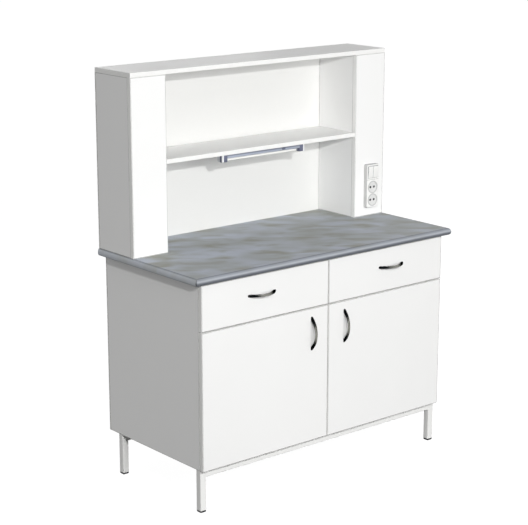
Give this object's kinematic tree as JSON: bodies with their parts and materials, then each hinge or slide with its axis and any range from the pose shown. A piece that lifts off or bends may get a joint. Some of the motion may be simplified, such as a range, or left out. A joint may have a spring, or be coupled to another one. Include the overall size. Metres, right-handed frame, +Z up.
{
  "type": "lab bench with reagent shelf",
  "caption": "Laminate laboratory bench on a tube frame, with drawers over hinged doors, a marbled worktop and a reagent shelf between boxed columns with a lamp, switches and sockets",
  "frame": {"origin": "on the floor, under the middle of the bench's outline", "axes": "+X to the right as seen from the front, +Y to the back, +Z up"},
  "size_m": [1.212, 0.594, 1.5],
  "materials": {
    "laminate": "white melamine laminate on chipboard, satin",
    "hardboard": "white lacquered thin board, matt",
    "marbled_laminate": "grey-blue marbled laminate, semi-matt, postformed edges",
    "white_paint": "white powder coat",
    "grey_steel": "grey coated sheet steel",
    "nickel": "satin nickel plate",
    "black_plastic": "black moulded plastic",
    "white_plastic": "white moulded plastic",
    "lamp_silver": "silver anodised",
    "tube_glass": "opal white lamp glass"
  },
  "bodies": {
    "bench": {"base_frame": "white_paint", "front_left_foot": "black_plastic", "front_right_foot": "black_plastic", "rear_left_foot": "black_plastic", "rear_right_foot": "black_plastic", "left_side_panel": "laminate", "right_side_panel": "laminate", "bottom_panel": "laminate", "centre_partition": "laminate", "cabinet_back": "hardboard", "unit_back": "hardboard", "worktop": "marbled_laminate", "left_drawer_outer_runner": "grey_steel", "left_drawer_inner_runner": "grey_steel", "left_lower_hinge_arm": "nickel", "left_upper_hinge_arm": "nickel", "left_column_front": "laminate", "left_column_outer_side": "laminate", "left_column_inner_side": "laminate", "right_drawer_outer_runner": "grey_steel", "right_drawer_inner_runner": "grey_steel", "right_lower_hinge_arm": "nickel", "right_upper_hinge_arm": "nickel", "right_column_front": "laminate", "right_column_outer_side": "laminate", "right_column_inner_side": "laminate", "unit_top": "laminate", "reagent_shelf": "laminate", "lamp_left_holder": "white_plastic", "lamp_right_holder": "white_plastic", "power_block": "white_plastic", "lamp_housing": "lamp_silver", "lamp_tube": "tube_glass"},
    "left_drawer": {"left_drawer_front": "laminate", "left_drawer_bottom": "laminate", "left_drawer_back": "laminate", "left_drawer_handle": "nickel", "left_drawer_outer_side": "grey_steel", "left_drawer_inner_side": "grey_steel"},
    "left_door": {"left_door": "laminate", "left_door_handle": "nickel", "left_lower_hinge_cup": "nickel", "left_upper_hinge_cup": "nickel"},
    "left_lower_hinge_link": {"left_lower_hinge_link": "nickel"},
    "left_upper_hinge_link": {"left_upper_hinge_link": "nickel"},
    "right_drawer": {"right_drawer_front": "laminate", "right_drawer_bottom": "laminate", "right_drawer_back": "laminate", "right_drawer_handle": "nickel", "right_drawer_outer_side": "grey_steel", "right_drawer_inner_side": "grey_steel"},
    "right_door": {"right_door": "laminate", "right_door_handle": "nickel", "right_lower_hinge_cup": "nickel", "right_upper_hinge_cup": "nickel"},
    "right_lower_hinge_link": {"right_lower_hinge_link": "nickel"},
    "right_upper_hinge_link": {"right_upper_hinge_link": "nickel"},
    "left_rocker": {"left_rocker": "white_plastic"},
    "right_rocker": {"right_rocker": "white_plastic"},
    "lamp_switch": {"lamp_switch": "black_plastic"}
  },
  "joints": [
    {"name": "left_drawer_slide", "type": "slide", "parent": "bench", "child": "left_drawer", "axis": [0, -1, 0], "range_m": [0, 0.4]},
    {"name": "right_drawer_slide", "type": "slide", "parent": "bench", "child": "right_drawer", "axis": [0, -1, 0], "range_m": [0, 0.4]},
    {"name": "left_door_swing", "type": "hinge", "parent": "bench", "child": "left_door", "pos_m": [-0.569, -0.263, 0.405], "axis": [0, 0, -1], "range_deg": [0, 100]},
    {"name": "left_lower_hinge_link_turn", "type": "hinge", "parent": "bench", "child": "left_lower_hinge_link", "pos_m": [-0.556, -0.256, 0.246], "axis": [0, 0, -1], "range_deg": [0, 100]},
    {"name": "left_upper_hinge_link_turn", "type": "hinge", "parent": "bench", "child": "left_upper_hinge_link", "pos_m": [-0.556, -0.256, 0.5645], "axis": [0, 0, -1], "range_deg": [0, 100]},
    {"name": "right_door_swing", "type": "hinge", "parent": "bench", "child": "right_door", "pos_m": [0.569, -0.263, 0.405], "axis": [0, 0, 1], "range_deg": [0, 100]},
    {"name": "right_lower_hinge_link_turn", "type": "hinge", "parent": "bench", "child": "right_lower_hinge_link", "pos_m": [0.556, -0.256, 0.246], "axis": [0, 0, 1], "range_deg": [0, 100]},
    {"name": "right_upper_hinge_link_turn", "type": "hinge", "parent": "bench", "child": "right_upper_hinge_link", "pos_m": [0.556, -0.256, 0.5645], "axis": [0, 0, 1], "range_deg": [0, 100]},
    {"name": "left_rocker_tilt", "type": "hinge", "parent": "bench", "child": "left_rocker", "pos_m": [0.51675, 0.065, 1.025], "axis": [1, 0, 0], "range_deg": [-8, 0]},
    {"name": "right_rocker_tilt", "type": "hinge", "parent": "bench", "child": "right_rocker", "pos_m": [0.54225, 0.065, 1.025], "axis": [1, 0, 0], "range_deg": [-8, 0]},
    {"name": "lamp_switch_tilt", "type": "hinge", "parent": "bench", "child": "lamp_switch", "pos_m": [0.094, 0.091, 1.1625], "axis": [1, 0, 0], "range_deg": [-8, 0]}
  ],
  "couplings": [
    {"joint": "left_lower_hinge_link_turn", "follows": "left_door_swing", "ratio": 1},
    {"joint": "left_upper_hinge_link_turn", "follows": "left_door_swing", "ratio": 1},
    {"joint": "right_lower_hinge_link_turn", "follows": "right_door_swing", "ratio": 1},
    {"joint": "right_upper_hinge_link_turn", "follows": "right_door_swing", "ratio": 1}
  ]
}
